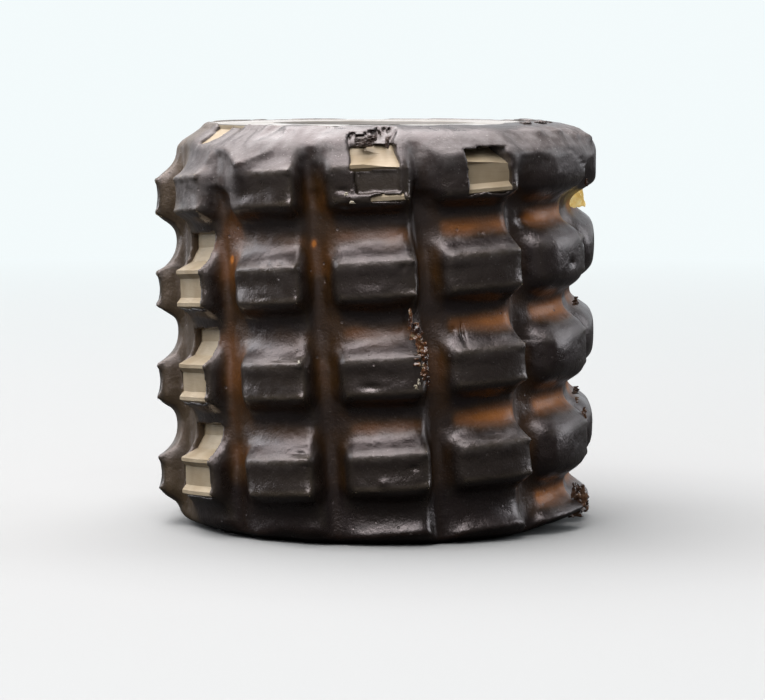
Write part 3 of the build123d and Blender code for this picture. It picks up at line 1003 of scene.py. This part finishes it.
def make_bits():
    """The small broken pieces, each in the place of its CAD node."""
    flap_look = thin_wax_material("flap wax", FLAP_STOPS, 0.5)
    shred_look = thin_wax_material("shred wax", SHRED_AND_GLINT_STOPS, 0.1)
    made = {
        "wax_flap": gathered("torn_flap", [torn_sheet(*flap) for flap in FLAP], flap_look),
        "wax_shreds": gathered("crumpled_shreds", [torn_sheet(*shred) for shred in SHREDS], shred_look),
        "wax_chips": gathered("broken_chips", [broken_lump(*chip) for chip in CHIPS], broken_wax_material()),
    }
    chip_and_glint_look = thin_wax_material("chip and glint wax", CHIP_AND_GLINT_STOPS, 0.05)
    flake_look = thin_wax_material("flake wax", FLAKE_STOPS, 0.05)
    flakes = gathered("coat_flakes", [torn_sheet(*flake) for flake in FLAKES], flake_look)
    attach(flakes, "root")
    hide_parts("wax_coat")
    # Bright chips, some of them painted highlights standing for glints
    bright = gathered("bright_chips_and_glints", [torn_sheet(*chip) for chip in BRIGHT_CHIPS_AND_GLINTS], chip_and_glint_look)
    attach(bright, "root")
    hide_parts("wax_shreds")
    for node, piece in made.items():
        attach(piece, "root")
        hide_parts(node)


def area_light(name, place, target, size, power, colour=(1, 1, 1)):
    lamp = bpy.data.lights.new(name, "AREA")
    lamp.shape = "RECTANGLE"
    lamp.size, lamp.size_y = size
    lamp.energy = power
    lamp.color = colour
    made = bpy.data.objects.new(name, lamp)
    bpy.context.scene.collection.objects.link(made)
    made.location = place
    made.rotation_euler = (Vector(target) - Vector(place)).to_track_quat("-Z", "Y").to_euler()
    made.visible_camera = False


def floor_look():
    """Pale to the camera, dark to other rays, and fading into the backdrop far away."""
    made, nodes, links, shader = material("pale floor")
    shader.inputs["Roughness"].default_value = 0.95
    shader.inputs["Specular IOR Level"].default_value = 0.0
    path = nodes.new("ShaderNodeLightPath")
    place = nodes.new("ShaderNodeNewGeometry")
    parts = nodes.new("ShaderNodeSeparateXYZ")
    links.new(place.outputs["Position"], parts.inputs[0])
    in_front = spread(nodes, links, parts.outputs["Y"], -0.34, -0.10, 1.0, 0.0)
    shade = blend(nodes, links, in_front, (0.03, 0.03, 0.03), (0.12, 0.118, 0.116))
    links.new(
        blend(nodes, links, path.outputs["Is Camera Ray"], shade, (0.32, 0.325, 0.325)),
        shader.inputs["Base Color"],
    )
    away = nodes.new("ShaderNodeVectorMath")
    away.operation = "LENGTH"
    links.new(place.outputs["Position"], away.inputs[0])
    far = spread(nodes, links, away.outputs["Value"], 0.10, 0.9, 0.0, 1.0)
    far = combine(nodes, links, "MULTIPLY", far, path.outputs["Is Camera Ray"])
    shine = nodes.new("ShaderNodeEmission")
    shine.inputs["Color"].default_value = (*BACKDROP, 1)
    mix = nodes.new("ShaderNodeMixShader")
    links.new(far, mix.inputs["Fac"])
    links.new(shader.outputs[0], mix.inputs[1])
    links.new(shine.outputs[0], mix.inputs[2])
    links.new(mix.outputs[0], nodes["Material Output"].inputs["Surface"])
    return made


def make_floor():
    half = 9
    mesh = bpy.data.meshes.new("floor")
    corners = [(-half, -half, 0), (half, -half, 0), (half, half, 0), (-half, half, 0)]
    mesh.from_pydata(corners, [], [(0, 1, 2, 3)])
    mesh.materials.append(floor_look())
    floor = bpy.data.objects.new("floor", mesh)
    bpy.context.scene.collection.objects.link(floor)


def make_world():
    """A plain backdrop to the camera, and light that is weak from the front and stronger from behind."""
    world = bpy.data.worlds.new("studio")
    bpy.context.scene.world = world
    world.use_nodes = True
    nodes, links = world.node_tree.nodes, world.node_tree.links
    seen = nodes["Background"]
    seen.inputs["Color"].default_value = (*BACKDROP, 1)
    lit = nodes.new("ShaderNodeBackground")
    lit.inputs["Color"].default_value = (*DAYLIGHT, 1)
    way = nodes.new("ShaderNodeTexCoord")
    parts = nodes.new("ShaderNodeSeparateXYZ")
    links.new(way.outputs["Generated"], parts.inputs[0])
    links.new(spread(nodes, links, parts.outputs["Y"], -0.1, 0.8, 0.07, 0.8), lit.inputs["Strength"])
    path = nodes.new("ShaderNodeLightPath")
    mix = nodes.new("ShaderNodeMixShader")
    links.new(path.outputs["Is Camera Ray"], mix.inputs["Fac"])
    links.new(lit.outputs[0], mix.inputs[1])
    links.new(seen.outputs[0], mix.inputs[2])
    links.new(mix.outputs[0], nodes["World Output"].inputs["Surface"])


def make_lights():
    middle = (0, 0, 0.04)
    area_light("overhead", (-0.3, 0.15, 1.3), middle, (2.2, 1.7), 60, (1.0, 0.965, 0.96))
    area_light("front overhead", (-0.2, -0.95, 1.15), middle, (1.3, 0.5), 11)
    area_light("left window", (-1.5, 0.4, 0.6), middle, (0.8, 1.0), 10, DAYLIGHT)
    area_light("right window", (1.5, 0.3, 0.6), middle, (0.8, 1.0), 8, DAYLIGHT)
    area_light("front fill", (-0.4, -1.5, 0.8), middle, (0.7, 0.5), 3)


# In degrees: how far the camera looks down, and how far it is turned about Z
CAMERA_DIP = 5.0
CAMERA_TURN = -0.135


def make_camera():
    data = bpy.data.cameras.new("camera")
    data.sensor_width = 36.0
    data.lens = 160.2353
    data.clip_start = 0.05
    made = bpy.data.objects.new("camera", data)
    bpy.context.scene.collection.objects.link(made)
    made.location = (0, -0.700, 0.0964)
    made.rotation_euler = Euler((math.radians(90 - CAMERA_DIP), 0, math.radians(CAMERA_TURN)))
    bpy.context.scene.camera = made
    bpy.context.scene.view_settings.view_transform = "Standard"


make_camera()
make_floor()
make_world()
make_lights()
steel_look = steel_material()
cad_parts["hob_body"].data.materials.clear()
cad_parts["hob_body"].data.materials.append(steel_look)
wax = make_wax()
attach(wax, "root")
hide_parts("wax_coat")

make_bits()
